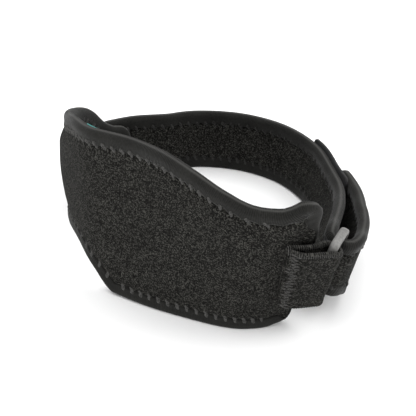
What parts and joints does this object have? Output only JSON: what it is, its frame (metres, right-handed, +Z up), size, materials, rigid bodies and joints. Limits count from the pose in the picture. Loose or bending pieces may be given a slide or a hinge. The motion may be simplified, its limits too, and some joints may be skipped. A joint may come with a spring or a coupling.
{
  "type": "elbow support",
  "caption": "Wide contoured neoprene forearm pad with taped edges, closed into a loop by a strap that runs through a plastic ring and folds back on itself.",
  "frame": {"origin": "centre of the support seen from above, on the surface that it stands on", "axes": "+Z up, out of the surface that it stands on; -Y the way the middle of the pad's outer face looks; +X towards the end of the pad that holds the ring"},
  "size_m": [0.1224, 0.139, 0.0733],
  "materials": {
    "pile": "looped pile on neoprene, charcoal with a fine light speckle",
    "tape": "smooth knitted edging tape",
    "ring": "satin",
    "hook": "matte hook tape",
    "label": "satin printed tape"
  },
  "bodies": {
    "root": {"pad_panel": "pile", "pad_edging": "tape", "strap_panel": "pile", "strap_edging": "tape", "ring_keeper": "pile", "ring": "ring", "hook_tab": "hook", "inner_label": "label"}
  },
  "joints": []
}
